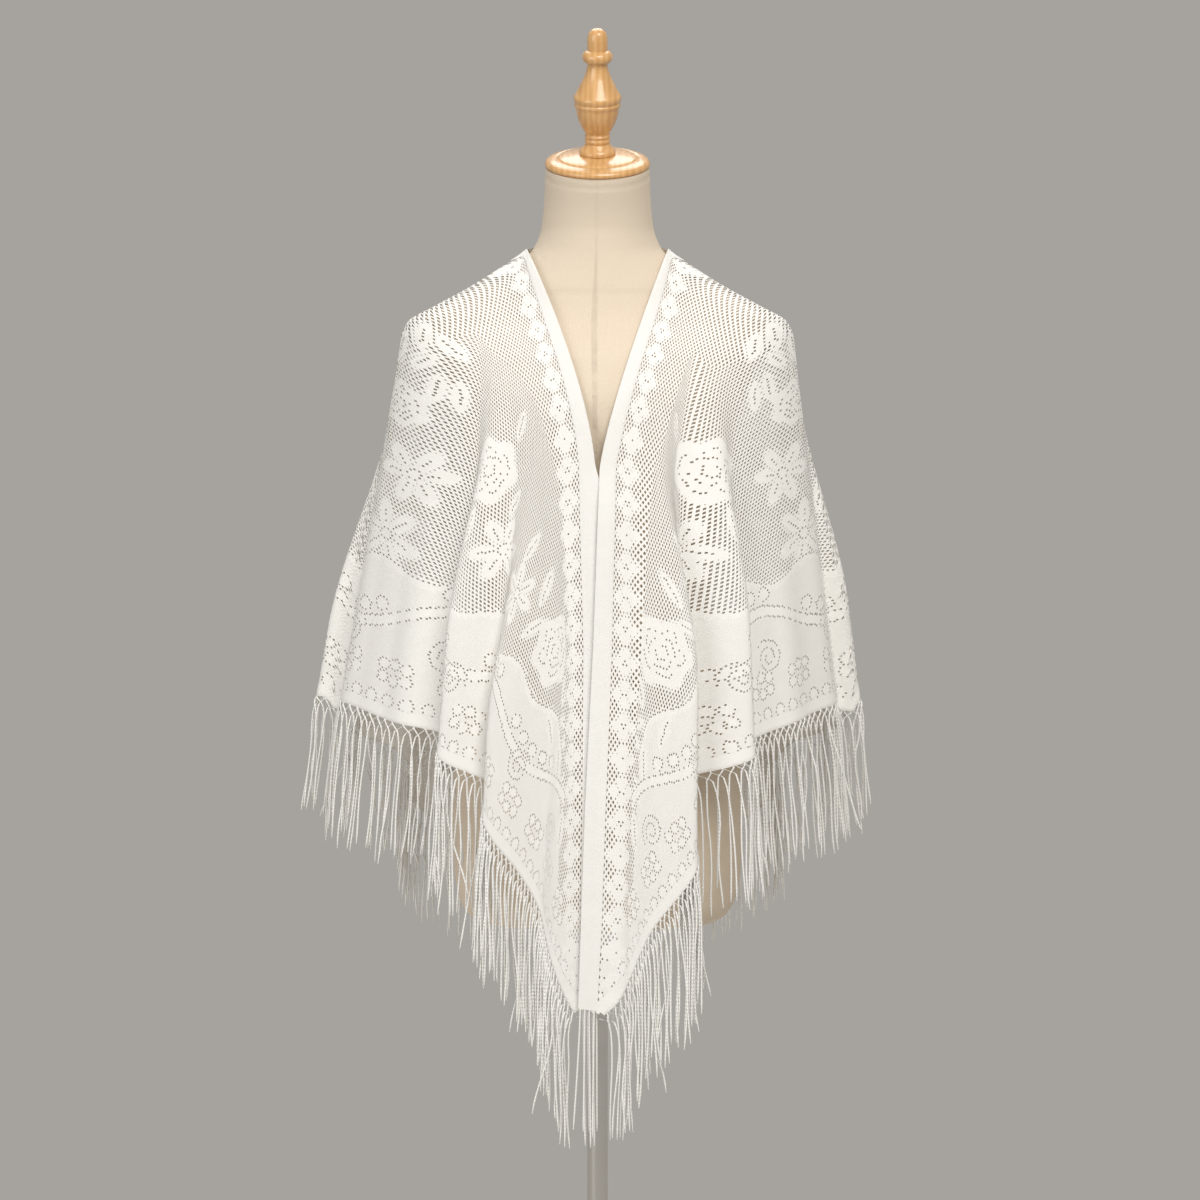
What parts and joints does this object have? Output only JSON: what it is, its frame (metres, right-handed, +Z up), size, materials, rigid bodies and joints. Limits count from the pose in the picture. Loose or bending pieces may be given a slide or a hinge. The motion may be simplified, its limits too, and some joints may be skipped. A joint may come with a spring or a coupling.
{
  "type": "lace shawl on dress form",
  "caption": "Triangular lace shawl with a plain band and a long knotted fringe, worn open over a limbless dress form on a pole and round base.",
  "frame": {"origin": "on the floor under the pole, in the middle of the base's flat underside", "axes": "+Z up, -Y towards the front of the shawl, +X to the viewer's right"},
  "size_m": [0.5668, 0.3191, 1.5899],
  "materials": {
    "lace": "matt knitted lace",
    "band": "matt, closely knitted",
    "fringe": "soft sheen, twisted cord",
    "linen": "matt plain weave",
    "turned_wood": "varnished",
    "polished_steel": "polished"
  },
  "bodies": {
    "root": {"lace_front_left": "lace", "lace_front_right": "lace", "lace_back_left": "lace", "lace_back_right": "lace", "band_left": "band", "band_right": "band", "fringe_left_1": "fringe", "fringe_left_2": "fringe", "fringe_left_3": "fringe", "fringe_left_4": "fringe", "fringe_left_5": "fringe", "fringe_left_6": "fringe", "fringe_right_1": "fringe", "fringe_right_2": "fringe", "fringe_right_3": "fringe", "fringe_right_4": "fringe", "fringe_right_5": "fringe", "fringe_right_6": "fringe", "torso": "linen", "neck_cap": "turned_wood", "finial": "turned_wood", "pole": "polished_steel", "stand_base": "polished_steel"}
  },
  "joints": []
}
